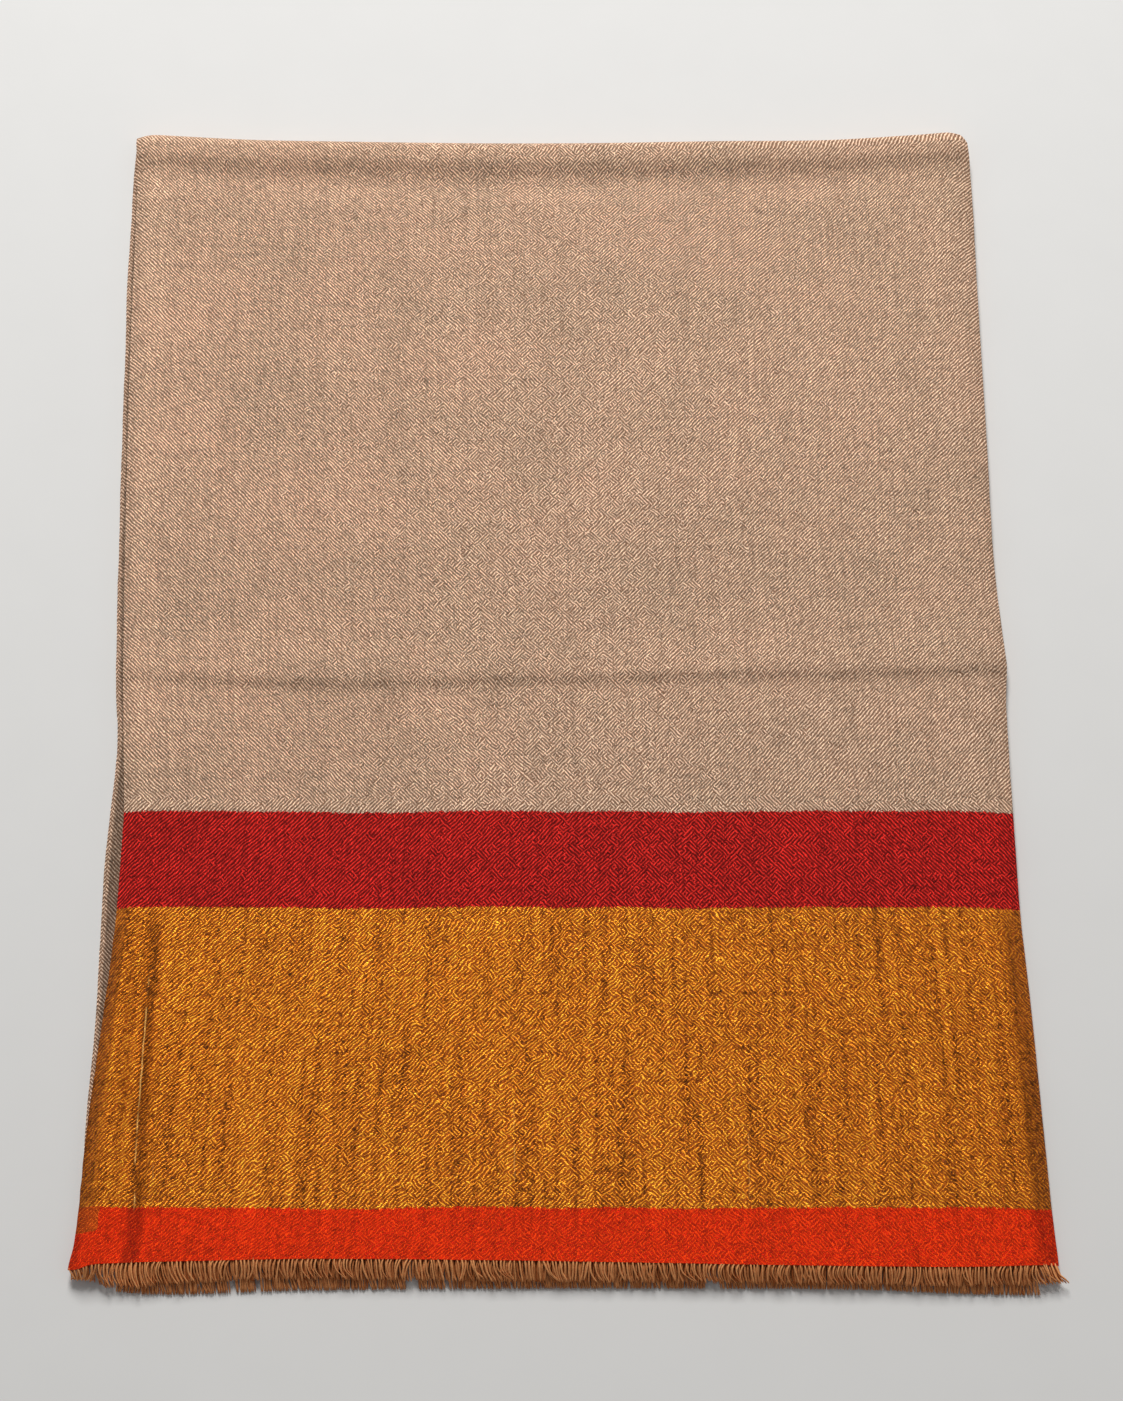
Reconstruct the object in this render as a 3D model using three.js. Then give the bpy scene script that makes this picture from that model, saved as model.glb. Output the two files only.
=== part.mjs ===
// Dupatta stole: a fine wool twill stole with woven end borders and a fringe, folded in half along
// its length and twice across it, so that one end's borders lie on top at the front.
//
// Millimetres, +Z up. X runs across the folded stole, from the selvedges (-X) to the lengthwise
// fold (+X). Y runs along it, from the fringed ends (-Y) to the crosswise fold (+Y). The origin is
// under the middle of the folded stole, on the surface that it lies on.

import * as THREE from 'three';

// Thicknesses and folds

const PLY = 1;                 // one ply of cloth, with the air held in its weave
const GAP = 0.3;               // clearance where two pieces meet
const STACK_HEIGHT = 8.6;      // eight plies, pressed
const UNDER_PLIES = 7;         // plies under the top one
const HAIRPIN = 1.05;          // outer radius of the lengthwise fold where the top ply turns down
const ROLL_RUN = 5.6;          // from the back fold's edge to the axis that it turns about

// Soft shapes of the top ply. A set-in is measured from the nearest edge, and a reach is how far a
// shape spreads either way.
const ROLL = { rise: 2.4, setIn: 10, reach: 6 };
const TROUGH = { setIn: 22, depth: 1, reach: 7, sideShare: 0.35, fadeFrom: 80, fadeTo: 170 };
const CREASE = { ahead: 1, rise: 1.4, back: 13, front: 3 };
const HOLLOW = { setIn: 9, depth: 0.35, reach: 8 };
const LEFT_FLANK = { width: 6.5, drop: 1.2, goldDrop: 1.5 };
const RIGHT_FLANK = { width: 9, drop: 2.2, goldDrop: 2.4 };
const FLANK_CURVE = 1.5;
const GOLD_ROLL = { setIn: 8, rise: 1.3, reach: 4.2 };
const GOLD_VALLEY = { setIn: 18, depth: 1.6, reach: 4 };
const GOLD_FADE = { before: 15, after: 25 };

// Where each woven stretch starts and ends, along Y

const RED_BACK = -55.7;
const GOLD_BACK = -94.7;
const ORANGE_BACK = -211.7;
const CLOTH_END = -232.7;
const FRINGE_TIP = -240.2;
const UNDER_FRINGE_TIP = -244.5;
const BACK = 244.5;
const HALF_WIDTH = 190;        // half of the greatest width, at the fringe

// Outlines of the folded stole, from above

// Left side: the top ply's selvedge, and the selvedges of the lowest plies.
const LEFT = [
  { y: -233, top: -189.6, low: -188.2 },
  { y: -220, top: -187.2, low: -187.4 },
  { y: -183, top: -185.0, low: -186.1 },
  { y: -136, top: -180.5, low: -184.2 },
  { y: -106, top: -177.8, low: -183.9 },
  { y: -79, top: -176.2, low: -183.6 },
  { y: -55, top: -175.8, low: -182.3 },
  { y: -24, top: -177.4, low: -180.4 },
  { y: 2, top: -178.6, low: -182.4 },
  { y: 50, top: -180.0, low: -183.6 },
  { y: 133, top: -181.7, low: -184.7 },
  { y: 216, top: -182.1, low: -185.0 },
  { y: 244, top: -183.2, low: -183.6 },
];

// Right side: the lengthwise fold.
const RIGHT = [
  { y: -233, x: 186.3 },
  { y: -212, x: 184.7 },
  { y: -178, x: 182.8 },
  { y: -134, x: 180.4 },
  { y: -95, x: 177.8 },
  { y: -75, x: 177.1 },
  { y: -14, x: 175.9 },
  { y: 5, x: 176.7 },
  { y: 11, x: 176.3 },
  { y: 50, x: 173.6 },
  { y: 103, x: 172.9 },
  { y: 170, x: 171.8 },
  { y: 222, x: 171.2 },
  { y: 244, x: 169.6 },
];

// Across: the back fold, the old crease across the middle, and the end of the cloth.
const ACROSS = [
  { x: -186, back: 243.5, crease: 1.9, end: -234.8 },
  { x: -178, back: 243.4, crease: 1.6, end: -232.8 },
  { x: -136, back: 241.0, crease: -0.3, end: -231.6 },
  { x: -101, back: 240.2, crease: -1.4, end: -230.9 },
  { x: -38, back: 239.3, crease: -0.6, end: -231.3 },
  { x: 12, back: 239.4, crease: 0.5, end: -232.0 },
  { x: 64, back: 240.3, crease: 1.9, end: -232.9 },
  { x: 110, back: 240.8, crease: 2.7, end: -233.6 },
  { x: 148, back: 243.2, crease: 3.5, end: -233.9 },
  { x: 166, back: 244.5, crease: 4.2, end: -233.6 },
  { x: 186, back: 242.4, crease: 4.6, end: -233.0 },
];

// A smooth curve through one column of a table, held level past its ends.
function column(table, key, value) {
  return (at) => {
    const last = table.length - 1;
    if (at <= table[0][key]) return table[0][value];
    if (at >= table[last][key]) return table[last][value];
    let i = 0;
    while (at > table[i + 1][key]) i += 1;
    const slope = (j) => {
      const a = table[Math.max(j - 1, 0)];
      const b = table[Math.min(j + 1, last)];
      return (b[value] - a[value]) / (b[key] - a[key]);
    };
    const span = table[i + 1][key] - table[i][key];
    const t = (at - table[i][key]) / span;
    const rise = table[i + 1][value] - table[i][value];
    const enter = slope(i) * span;
    const leave = slope(i + 1) * span;
    const bend = t * (1 - t) * (enter * (1 - t) - leave * t + rise * (2 * t - 1));
    return table[i][value] + rise * t + bend;
  };
}

const selvedge = column(LEFT, 'y', 'top');
const lowSelvedge = column(LEFT, 'y', 'low');
const foldSide = column(RIGHT, 'y', 'x');
const backEdge = column(ACROSS, 'x', 'back');
const creaseLine = column(ACROSS, 'x', 'crease');
const clothEnd = column(ACROSS, 'x', 'end');

const bump = (distance, reach) => Math.exp(-((distance / reach) ** 2));
const ease = THREE.MathUtils.smoothstep;

// Height of the top ply's upper face

function topHeight(x, y) {
  const fromBack = backEdge(x) - y;
  const middle = 1 - ease(Math.abs(x), TROUGH.fadeFrom, TROUGH.fadeTo);
  const across = THREE.MathUtils.lerp(TROUGH.sideShare, 1, middle);
  const roll = ROLL.rise * bump(Math.max(fromBack - ROLL.setIn, 0), ROLL.reach);
  const trough = TROUGH.depth * across * bump(fromBack - TROUGH.setIn, TROUGH.reach);

  const fromCrease = y - creaseLine(x) - CREASE.ahead;
  const side = fromCrease > 0 ? CREASE.back : CREASE.front;
  const crease = CREASE.rise * bump(fromCrease, side);
  const hollow = HOLLOW.depth * bump(fromCrease + HOLLOW.setIn, HOLLOW.reach);

  const atGold = ease(-y, -GOLD_BACK - GOLD_FADE.before, -GOLD_BACK + GOLD_FADE.after);
  const flank = (shape, distance) => {
    const drop = THREE.MathUtils.lerp(shape.drop, shape.goldDrop, atGold);
    return drop * Math.max(1 - distance / shape.width, 0) ** FLANK_CURVE;
  };
  const fromLeft = Math.max(x - selvedge(y), 0);
  const fromRight = Math.max(foldSide(y) - x, 0);

  const inGold = atGold * (1 - ease(-y, -ORANGE_BACK, -CLOTH_END));
  const goldRoll = GOLD_ROLL.rise * bump(fromLeft - GOLD_ROLL.setIn, GOLD_ROLL.reach);
  const goldValley = GOLD_VALLEY.depth * bump(fromLeft - GOLD_VALLEY.setIn, GOLD_VALLEY.reach);

  return STACK_HEIGHT + roll - trough + crease - hollow
    - flank(LEFT_FLANK, fromLeft) - flank(RIGHT_FLANK, fromRight)
    + inGold * (goldRoll - goldValley);
}

const ROLL_CREST = BACK - ROLL_RUN;
const BACK_SPREAD = 90;        // how far from the back the rows start to follow its edge
const CREASE_SPREAD = 30;      // how far from the crease the rows follow it

// A row of the cloth's grid follows the crease and the two ends instead of running dead straight.
function alongCloth(x, row) {
  const nearBack = ease(row, BACK - BACK_SPREAD, ROLL_CREST);
  const nearCrease = bump(row, CREASE_SPREAD);
  const nearEnd = ease(-row, -ORANGE_BACK, -CLOTH_END);
  return row + nearBack * (backEdge(x) - BACK) + nearCrease * creaseLine(x)
    + nearEnd * (clothEnd(x) - CLOTH_END);
}

// Closed meshes

function solid(name, points, faces, material) {
  const positions = new Float32Array(points.flatMap((p) => [p.x, p.y, p.z]));
  let volume = 0;
  for (let i = 0; i < faces.length; i += 3) {
    const [a, b, c] = [points[faces[i]], points[faces[i + 1]], points[faces[i + 2]]];
    volume += a.dot(b.clone().cross(c));
  }
  const outward = volume > 0 ? faces : faces.toReversed();
  const geometry = new THREE.BufferGeometry();
  geometry.setAttribute('position', new THREE.BufferAttribute(positions, 3));
  geometry.setIndex(outward);
  geometry.computeVertexNormals();
  const mesh = new THREE.Mesh(geometry, material);
  mesh.name = name;
  return mesh;
}

const quad = (a, b, c, d) => [a, b, c, a, c, d];

// A wall between two grids of points, rows[i][j], closed by a rim.
function wall(name, outer, inner, material) {
  const rows = outer.length;
  const columns = outer[0].length;
  const points = [...outer.flat(), ...inner.flat()];
  const top = (i, j) => i * columns + j;
  const under = (i, j) => rows * columns + top(i, j);
  const faces = [];
  for (let i = 0; i < rows - 1; i += 1) {
    for (let j = 0; j < columns - 1; j += 1) {
      faces.push(...quad(top(i, j), top(i, j + 1), top(i + 1, j + 1), top(i + 1, j)));
      faces.push(...quad(under(i, j), under(i + 1, j), under(i + 1, j + 1), under(i, j + 1)));
    }
  }
  for (let j = 0; j < columns - 1; j += 1) {
    faces.push(...quad(top(0, j), under(0, j), under(0, j + 1), top(0, j + 1)));
    const i = rows - 1;
    faces.push(...quad(top(i, j), top(i, j + 1), under(i, j + 1), under(i, j)));
  }
  for (let i = 0; i < rows - 1; i += 1) {
    faces.push(...quad(top(i, 0), top(i + 1, 0), under(i + 1, 0), under(i, 0)));
    const j = columns - 1;
    faces.push(...quad(top(i, j), under(i, j), under(i + 1, j), top(i + 1, j)));
  }
  return solid(name, points, faces, material);
}

// The top ply, a wall for each woven stretch

const LEFT_STEPS = [0, 3, 8, 12.5, 18, 30];      // in from the selvedge
const RIGHT_STEPS = [32, 9, 4];                  // in from the lengthwise fold
const MIDDLE_STEPS = 5;

// Places across the cloth from the selvedge to where the lengthwise fold starts to turn down.
function placesAcross(y) {
  const left = selvedge(y);
  const right = foldSide(y);
  const places = LEFT_STEPS.map((step) => left + step);
  const from = left + LEFT_STEPS.at(-1);
  const to = right - RIGHT_STEPS[0];
  for (let i = 1; i < MIDDLE_STEPS; i += 1) {
    places.push(THREE.MathUtils.lerp(from, to, i / MIDDLE_STEPS));
  }
  places.push(...RIGHT_STEPS.map((step) => right - step));
  return places;
}

// The turn at the lengthwise fold: how far each place has dropped, and the angle it has turned by.
function hairpin(y) {
  return [0, Math.PI / 4, Math.PI / 2].map((turned) => ({
    x: foldSide(y) - HAIRPIN * (1 - Math.sin(turned)),
    drop: HAIRPIN * (1 - Math.cos(turned)),
    turned,
  }));
}

// One row of the wall. At the back fold the row has wrapped round by the angle `wrapped`.
function topPlyRow(row, wrapped = 0) {
  const outer = [];
  const inner = [];
  const flat = placesAcross(row).map((x) => ({ x, drop: 0, turned: 0 }));
  for (const { x, drop, turned } of [...flat, ...hairpin(row)]) {
    const y = alongCloth(x, row);
    const height = topHeight(x, y);
    const radius = height / 2;
    const up = new THREE.Vector3(0, Math.sin(wrapped), Math.cos(wrapped));
    const centre = new THREE.Vector3(x, y, radius);
    const point = centre.addScaledVector(up, radius - drop);
    const normal = up.multiplyScalar(Math.cos(turned)).setX(Math.sin(turned));
    outer.push(point);
    inner.push(point.clone().addScaledVector(normal, -PLY));
  }
  return { outer, inner };
}

const WRAP_STEPS = 8;

function topPly(name, rows, material, wraps = false) {
  const made = rows.map((row) => topPlyRow(row));
  if (wraps) {
    for (let i = 1; i <= WRAP_STEPS; i += 1) {
      made.push(topPlyRow(rows.at(-1), (Math.PI * i) / WRAP_STEPS));
    }
  }
  return wall(name, made.map((row) => row.outer), made.map((row) => row.inner), material);
}

const cloth = (colour, roughness = 0.85, metalness = 0) =>
  new THREE.MeshStandardMaterial({ color: new THREE.Color(colour), roughness, metalness });

const beige = cloth('#b79880');
const red = cloth('#961f1b');
const gold = cloth('#b5671d', 0.5, 0.35);
const orange = cloth('#c92e0f', 0.75);
const fringeYarn = cloth('#804826', 0.7);
const shadedYarn = cloth('#6b3d20', 0.75);

const seam = GAP / 2;

// Rows of each stretch, from its front edge to its back edge.
const ORANGE_ROWS = [CLOTH_END, -223, ORANGE_BACK - seam];
const GOLD_ROWS = [ORANGE_BACK + seam, -180, -150, -124, -108, GOLD_BACK - seam];
const RED_ROWS = [GOLD_BACK + seam, -75, RED_BACK - seam];
const FIELD_ROWS = [
  RED_BACK + seam, -38, -18, -8, -3, 0, 5, 16, 45, 100, 160, 200,
  BACK - 34, BACK - 27, BACK - 20, BACK - 15, BACK - 10,
];

const field = topPly('field', [...FIELD_ROWS, ROLL_CREST], beige, true);
const redBand = topPly('red_band', RED_ROWS, red);
const goldBand = topPly('gold_band', GOLD_ROWS, gold);
const orangeBand = topPly('orange_band', ORANGE_ROWS, orange);

// The plies under it, as one solid whose sides are layered

// How each side of the solid stands in from the outline, ply by ply from the lowest. `low` is how
// much of the left edge follows the lowest selvedges. The plies turn back in pairs on the right.
const UNDER_LAYERS = [
  { low: 0.9, left: 0.9, right: 0.9, end: 5.6, half: 'lower' },
  { low: 1.0, left: 0.0, right: 0.9, end: 4.4, half: 'upper' },
  { low: 1.0, left: 0.5, right: 0.3, end: 4.4, half: 'lower' },
  { low: 0.8, left: 0.4, right: 0.3, end: 5.6, half: 'upper' },
  { low: 0.2, left: 1.3, right: 0.7, end: 1.8, half: 'lower' },
  { low: 0.1, left: 0.9, right: 0.7, end: 1.6, half: 'upper' },
  { low: 0.0, left: 0.7, right: 0.5, end: 0.7, half: 'lower' },
];
const GROOVE = 0.9;            // depth of the groove between two plies
const PLY_EDGE = { from: 0.06, to: 0.94 };   // what share of a ply's height its edge takes
const FOLD_OPENING = 1.6;      // how far the plies of one fold draw in where they part
const UNDER_HAIRPIN = 2.2;     // how far the solid's top stands in under the top ply's turn
const FOLDED_PLIES = 4;        // the lowest plies, whose front is one crosswise fold

// Three rings to a ply: its lower edge, its middle and its upper edge.
const RING_HEIGHTS = [0, 0.5, 1];

function ringRow(ply, part) {
  const layer = UNDER_LAYERS[ply];
  const pinch = Math.abs(part - 0.5) * 2 * GROOVE;
  const open = layer.half === 'lower' ? 1 - part : part;
  const atFoldFace = (ply === 0 && part === 0) || (ply === FOLDED_PLIES - 1 && part === 1);
  const inFold = ply < FOLDED_PLIES && !atFoldFace;
  return {
    share: (ply + THREE.MathUtils.lerp(PLY_EDGE.from, PLY_EDGE.to, part)) / UNDER_PLIES,
    low: layer.low,
    left: layer.left + pinch,
    right: layer.right + FOLD_OPENING * open ** 2,
    end: layer.end + (inFold ? 0 : pinch),
  };
}

// Rows between the solid's front and back, under the top ply's own rows.
const UNDER_ROWS = [...ORANGE_ROWS.slice(1), ...GOLD_ROWS.slice(1), ...RED_ROWS.slice(1),
  ...FIELD_ROWS.slice(1)];
const UNDER_COLUMNS = LEFT_STEPS.length + MIDDLE_STEPS + RIGHT_STEPS.length;

// The point of one ring, or of a cap, at column i and row j. The border of the grid follows the
// ring's own set-ins, and the back of it lies inside the top ply's wrap.
function underPoint(i, j, ring) {
  const atFront = j === 0;
  const atBack = j === UNDER_ROWS.length + 1;
  const row = atFront ? CLOTH_END : atBack ? ROLL_CREST : UNDER_ROWS[j - 1];
  let x = [...placesAcross(row), foldSide(row)][i];
  if (i === 0) x = THREE.MathUtils.lerp(selvedge(row), lowSelvedge(row), ring.low) + ring.left;
  if (i === UNDER_COLUMNS - 1) x -= atBack ? UNDER_HAIRPIN : ring.right;
  let y = alongCloth(x, row) + (atFront ? ring.end : 0);
  const height = topHeight(x, y);
  const z = ring.share * (height - PLY - GAP);
  if (atBack) {
    const radius = height / 2;
    const lining = radius - PLY - GAP;
    y += z < PLY + GAP ? -GAP : Math.sqrt(Math.max(lining ** 2 - (z - radius) ** 2, 0));
  }
  return new THREE.Vector3(x, y, z);
}

// The grid's border, walked once round.
function border(columns, rows) {
  const walk = [];
  for (let i = 0; i < columns - 1; i += 1) walk.push([i, 0]);
  for (let j = 0; j < rows - 1; j += 1) walk.push([columns - 1, j]);
  for (let i = columns - 1; i > 0; i -= 1) walk.push([i, rows - 1]);
  for (let j = rows - 1; j > 0; j -= 1) walk.push([0, j]);
  return walk;
}

function underLayers() {
  const columns = UNDER_COLUMNS;
  const rows = UNDER_ROWS.length + 2;
  const walk = border(columns, rows);
  const rings = UNDER_LAYERS.flatMap((_, ply) => RING_HEIGHTS.map((part) => ringRow(ply, part)));
  rings[0].share = 0;
  rings.at(-1).share = 1;
  rings.at(-1).right = UNDER_HAIRPIN;
  const points = rings.flatMap((ring) => walk.map(([i, j]) => underPoint(i, j, ring)));
  const faces = [];
  const around = walk.length;
  for (let r = 0; r < rings.length - 1; r += 1) {
    const here = r * around;
    const above = here + around;
    for (let k = 0; k < around; k += 1) {
      const next = (k + 1) % around;
      faces.push(...quad(here + k, here + next, above + next, above + k));
    }
  }
  const cap = (ring, borderStart, facesDown) => {
    const index = new Map(walk.map(([i, j], k) => [`${i},${j}`, borderStart + k]));
    for (let i = 1; i < columns - 1; i += 1) {
      for (let j = 1; j < rows - 1; j += 1) {
        index.set(`${i},${j}`, points.length);
        points.push(underPoint(i, j, ring));
      }
    }
    for (let i = 0; i < columns - 1; i += 1) {
      for (let j = 0; j < rows - 1; j += 1) {
        const corner = (di, dj) => index.get(`${i + di},${j + dj}`);
        const corners = [corner(0, 0), corner(1, 0), corner(1, 1), corner(0, 1)];
        faces.push(...quad(...(facesDown ? corners.toReversed() : corners)));
      }
    }
  };
  cap(rings[0], 0, true);
  cap(rings.at(-1), (rings.length - 1) * around, false);
  return solid('under_layers', points, faces, beige);
}

// Fringes: a plain solid of the reach of each row of strands

const FRINGE_MARGIN = 3;       // no section closer than this to the left corner's own

// Sections from the cloth's end to the tips: how far along, and the heights of both faces.
const FRINGE = {
  rows: [
    { reach: 0, low: 5.3, high: 7.5 },
    { reach: 0.4, low: 4.3, high: 6.8 },
    { reach: 0.8, low: 3.1, high: 5.0 },
    { reach: 1, low: 2.6, high: 3.4 },
  ],
  tip: FRINGE_TIP, left: -HALF_WIDTH, right: HALF_WIDTH,
};
const UNDER_FRINGE = {
  rows: [
    { reach: 0, low: 2.2, high: 4.2 },
    { reach: 0.5, low: 0.8, high: 2.5 },
    { reach: 1, low: 0.3, high: 1.1 },
  ],
  tip: UNDER_FRINGE_TIP, left: -173, right: 180,
};

function fringe(name, shape, material) {
  const inside = (x) => x > shape.left + FRINGE_MARGIN && x < shape.right;
  const between = placesAcross(CLOTH_END).filter(inside);
  const places = [shape.left, ...between, shape.right].map((x) => [x, clothEnd(x) - GAP]);
  const face = (row, height) => places.map(([x, start]) =>
    new THREE.Vector3(x, THREE.MathUtils.lerp(start, shape.tip, row.reach), height));
  const upper = shape.rows.map((row) => face(row, row.high));
  const lower = shape.rows.map((row) => face(row, row.low));
  return wall(name, upper, lower, material);
}

const stole = new THREE.Group();
stole.name = 'dupatta_stole';
stole.add(
  field,
  redBand,
  goldBand,
  orangeBand,
  underLayers(),
  fringe('fringe', FRINGE, fringeYarn),
  fringe('under_fringe', UNDER_FRINGE, shadedYarn),
);

export default stole;
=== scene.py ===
"""A dupatta stole, folded flat: its woven cloth, its layered edges and its two fringes.

One cloth with fringed ends is folded in half along its length, then twice across it. The folded
path of that cloth is worked out once, and every woven piece is a stretch of it. Sizes are in
millimetres until a point is placed, and the cloth's own map is in metres of cloth: across from the
selvedge, and along from the end that lies on top.
"""

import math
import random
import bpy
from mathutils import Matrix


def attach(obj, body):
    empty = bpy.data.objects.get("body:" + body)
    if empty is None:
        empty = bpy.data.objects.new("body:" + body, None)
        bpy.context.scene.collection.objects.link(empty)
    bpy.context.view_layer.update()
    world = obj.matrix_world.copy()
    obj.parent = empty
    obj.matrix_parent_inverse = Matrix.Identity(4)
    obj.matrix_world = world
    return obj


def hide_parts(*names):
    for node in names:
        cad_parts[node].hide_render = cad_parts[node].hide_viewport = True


bl_info = {
    "name": "Folded dupatta stole",
    "version": (1, 0, 0),
    "blender": (4, 5, 0),
    "location": "View3D > Sidebar > Stole",
    "description": "Builds a folded stole with woven end borders and fringes",
    "category": "Object",
}

from dataclasses import dataclass

import bmesh
import bpy
from bpy.props import FloatProperty, FloatVectorProperty, PointerProperty
from mathutils import Matrix, Vector, noise

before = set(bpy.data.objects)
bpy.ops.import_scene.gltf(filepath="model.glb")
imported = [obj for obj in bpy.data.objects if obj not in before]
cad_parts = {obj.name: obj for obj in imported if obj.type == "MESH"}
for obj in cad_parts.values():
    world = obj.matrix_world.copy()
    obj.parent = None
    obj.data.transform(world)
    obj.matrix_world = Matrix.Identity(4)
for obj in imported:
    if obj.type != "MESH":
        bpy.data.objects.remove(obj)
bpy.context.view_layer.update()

MM = 0.001

# Sizes of the folded stole, in millimetres

PLIES = 8
STACK_HEIGHT = 8.6
ROLL_RUN = 5.6  # from the back fold's edge to the axis that it turns about
BACK = 244.5
CLOTH_END = -232.7
HALF_CLOTH = 358.0  # width of the cloth, folded in half along its length

# Widths of the woven stretches, from the end of the cloth
ORANGE_WIDTH = 21.0
GOLD_WIDTH = 117.0
RED_WIDTH = 39.0
GOLD_START = ORANGE_WIDTH
RED_START = GOLD_START + GOLD_WIDTH
FIELD_START = RED_START + RED_WIDTH

# Left side: the top ply's selvedge and the lowest plies' selvedges.
LEFT = [
    {"y": -233, "top": -189.6, "low": -188.2},
    {"y": -220, "top": -187.2, "low": -187.4},
    {"y": -183, "top": -185.0, "low": -186.1},
    {"y": -136, "top": -180.5, "low": -184.2},
    {"y": -106, "top": -177.8, "low": -183.9},
    {"y": -79, "top": -176.2, "low": -183.6},
    {"y": -55, "top": -175.8, "low": -182.3},
    {"y": -24, "top": -177.4, "low": -180.4},
    {"y": 2, "top": -178.6, "low": -182.4},
    {"y": 50, "top": -180.0, "low": -183.6},
    {"y": 133, "top": -181.7, "low": -184.7},
    {"y": 216, "top": -182.1, "low": -185.0},
    {"y": 244, "top": -183.2, "low": -183.6},
]

# Right side: the lengthwise fold.
RIGHT = [
    {"y": -233, "x": 186.3},
    {"y": -212, "x": 184.7},
    {"y": -178, "x": 182.8},
    {"y": -134, "x": 180.4},
    {"y": -95, "x": 177.8},
    {"y": -75, "x": 177.1},
    {"y": -14, "x": 175.9},
    {"y": 5, "x": 176.7},
    {"y": 11, "x": 176.3},
    {"y": 50, "x": 173.6},
    {"y": 103, "x": 172.9},
    {"y": 170, "x": 171.8},
    {"y": 222, "x": 171.2},
    {"y": 244, "x": 169.6},
]

# Across: the back fold, the old crease across the middle, and the end of the cloth.
ACROSS = [
    {"x": -186, "back": 243.5, "crease": 1.9, "end": -234.8},
    {"x": -178, "back": 243.4, "crease": 1.6, "end": -232.8},
    {"x": -136, "back": 241.0, "crease": -0.3, "end": -231.6},
    {"x": -101, "back": 240.2, "crease": -1.4, "end": -230.9},
    {"x": -38, "back": 239.3, "crease": -0.6, "end": -231.3},
    {"x": 12, "back": 239.4, "crease": 0.5, "end": -232.0},
    {"x": 64, "back": 240.3, "crease": 1.9, "end": -232.9},
    {"x": 110, "back": 240.8, "crease": 2.7, "end": -233.6},
    {"x": 148, "back": 243.2, "crease": 3.5, "end": -233.9},
    {"x": 166, "back": 244.5, "crease": 4.2, "end": -233.6},
    {"x": 186, "back": 242.4, "crease": 4.6, "end": -233.0},
]

# Along the border: the roll by the selvedge and the valley beside it, in from the selvedge.
BORDER_ROLL = [
    {"y": -236, "roll": 8.8, "valley": 20.5, "strength": 0.5},
    {"y": -212, "roll": 8.6, "valley": 20.0, "strength": 1.0},
    {"y": -165, "roll": 8.0, "valley": 17.0, "strength": 1.0},
    {"y": -120, "roll": 5.2, "valley": 13.0, "strength": 0.7},
    {"y": -90, "roll": 4.5, "valley": 11.5, "strength": 0.15},
    {"y": -60, "roll": 4.5, "valley": 11.0, "strength": 0.0},
]

# How each length of the folded cloth lies: how much its selvedges follow the lowest ones, and how
# far its outer ply, its inner ply and its lengthwise fold stand in from the outline.
LENGTHS = [
    {"name": "top", "low": 0.0, "outer": 0.0, "inner": 0.8, "fold": 0.0},
    {"name": "bottom", "low": 1.0, "outer": 0.9, "inner": 0.0, "fold": 0.9},
    {"name": "second", "low": 0.9, "outer": 0.5, "inner": 1.0, "fold": 0.2},
    {"name": "third", "low": 0.2, "outer": 1.6, "inner": 0.9, "fold": 0.8},
]
FRONT_TURN = CLOTH_END + 6.0  # where the lower fold at the front starts to turn
UNDER_END = CLOTH_END + 1.7  # where the end that lies beneath stops

# Soft shapes of the top ply. A set-in is measured from the nearest edge, and a reach is how far a
# shape spreads either way.
ROLL = {"rise": 2.4, "set_in": 9.0, "reach": 5.3}
TROUGH = {"depth": 1.5, "set_in": 20.5, "reach": 7, "side_share": 0.35}
TROUGH_FADE = {"centre": -10, "start": 80, "stop": 170}
CREASE = {"ahead": 1.0, "rise": 1.45, "back": 13, "front": 3.0}
CREASE_FADE = {"share": 0.35, "start": -178, "stop": -135}
HOLLOW = {"set_in": 9, "depth": 0.35, "reach": 8}
LEFT_FLANK = {"width": 6.5, "drop": 1.5, "border_drop": 3.0}
RIGHT_FLANK = {"width": 9, "drop": 2.6, "border_drop": 4.3}
FLANK_CURVE = 1.5
BORDER_FADE = {"start": 70, "stop": 105}
BORDER_RIDGE = {"height": 1.3, "reach": 4.2}
BORDER_VALLEY = {"depth": 1.8, "reach": 3.6}
PRESSED = {"side": 10, "back": 24}  # how far in from the folds the cloth lies quite flat
BACK_SPREAD = {"start": 90, "stop": 6}  # where the rows follow the edge of the back fold
CREASE_SPREAD = 30  # how far from the crease the rows follow it

# Unevenness: how much, in mm, how broad its swells are, and the seed of each.
UNEVEN = {
    "crease line": {"by": 0.5, "size": 21, "seed": 1.9},
    "crease rise": {"by": 0.5, "size": 13, "seed": 6.2},
    "slack": {"by": 0.2, "size": 46, "seed": 3.1},
    "ripple": {"by": 0.1, "size": 17, "seed": 8.7},
    "pucker": {"by": 0.16, "size": 6.5, "seed": 5.5},
    "selvedge loops": {"by": 0.18, "size": 5.1, "seed": 4},
    "selvedge stray": {"by": 0.45, "size": 38, "seed": 11},
    "fold loops": {"by": 0.1, "size": 9, "seed": 30},
    "fold stray": {"by": 0.5, "size": 45, "seed": 33},
}
PUCKER_STRETCH = 0.07  # puckers run along the cloth
INNER_SEED = 17  # added to a seed on the inner ply


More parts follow.
